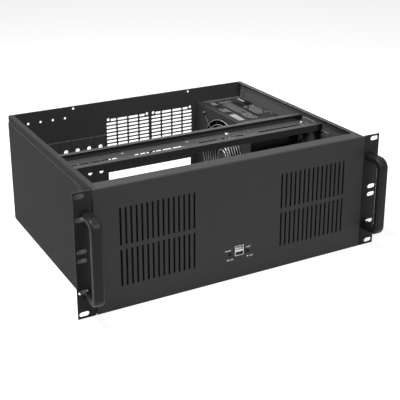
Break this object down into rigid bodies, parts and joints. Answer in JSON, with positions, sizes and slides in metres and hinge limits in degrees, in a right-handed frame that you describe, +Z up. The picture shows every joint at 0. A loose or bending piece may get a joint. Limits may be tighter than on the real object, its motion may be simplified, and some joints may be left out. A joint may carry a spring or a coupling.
{
  "type": "rackmount server case",
  "caption": "Open-topped rackmount computer case with vented front, rack ears, handles, crossbar and power supply.",
  "frame": {"origin": "middle of the underside of the case floor", "axes": "+X right seen from the front, front panel faces -Y, +Z up"},
  "size_m": [0.4826, 0.3985, 0.177],
  "materials": {
    "case": "satin",
    "panel": "satin",
    "handle": "satin",
    "plated": "polished",
    "zinc": "satin",
    "black_screw": "satin",
    "supply": "satin",
    "fan_plastic": "matte",
    "socket_metal": "polished",
    "socket_plastic": "matte",
    "board": "matte",
    "brass": "satin",
    "button": "gloss",
    "green_lamp": "gloss",
    "red_lamp": "gloss",
    "aluminium": "satin",
    "coil": "satin",
    "can": "gloss"
  },
  "bodies": {
    "case": {"chassis": "case", "front_panel": "panel", "rear_panel": "case", "ear_left": "panel", "ear_right": "panel", "handle_left": "handle", "handle_right": "handle", "handle_screws": "zinc", "ear_screws": "black_screw", "crossbar": "case", "crossbar_screws": "zinc", "bar_bracket_left": "case", "bar_bracket_right": "case", "slot_screws": "zinc", "psu_tray": "supply", "psu_cover": "supply", "psu_fan_frame": "fan_plastic", "psu_fan_guard": "plated", "psu_fan_screws": "zinc", "psu_inlet": "socket_plastic", "psu_inlet_pins": "brass", "psu_switch_body": "socket_plastic", "psu_outlet_bushing": "socket_plastic", "psu_screws": "zinc", "psu_board": "board", "psu_transformer": "coil", "psu_heatsinks": "aluminium", "psu_capacitors": "can", "usb_shell": "socket_metal", "usb_tongues": "socket_plastic", "front_board": "board", "front_spacers": "brass", "front_board_screws": "zinc", "push_switches": "socket_plastic", "power_lamp": "green_lamp", "drive_lamp": "red_lamp", "board_posts": "brass", "slot_cover_1": "case", "slot_cover_2": "case", "slot_cover_3": "case", "slot_cover_4": "case", "slot_cover_5": "case", "slot_cover_6": "case", "slot_cover_7": "case"},
    "power_button": {"power_button": "button"},
    "reset_button": {"reset_button": "button"},
    "mains_switch": {"psu_switch_rocker": "button"},
    "supply_fan": {"psu_fan_rotor": "fan_plastic"}
  },
  "joints": [
    {"name": "power_button_push", "type": "slide", "parent": "case", "child": "power_button", "axis": [0, 1, 0], "range_m": [0, 0.001], "stiffness_N_per_m": 400, "springref_m": -0.0005},
    {"name": "reset_button_push", "type": "slide", "parent": "case", "child": "reset_button", "axis": [0, 1, 0], "range_m": [0, 0.001], "stiffness_N_per_m": 400, "springref_m": -0.0005},
    {"name": "mains_switch_rock", "type": "hinge", "parent": "case", "child": "mains_switch", "pos_m": [0.167, 0.1713, 0.062], "axis": [1, 0, 0], "range_deg": [0, 18]},
    {"name": "supply_fan_spin", "type": "hinge", "parent": "case", "child": "supply_fan", "pos_m": [0.14, 0.0838, 0.0762], "axis": [1, 0, 0], "continuous": true}
  ]
}
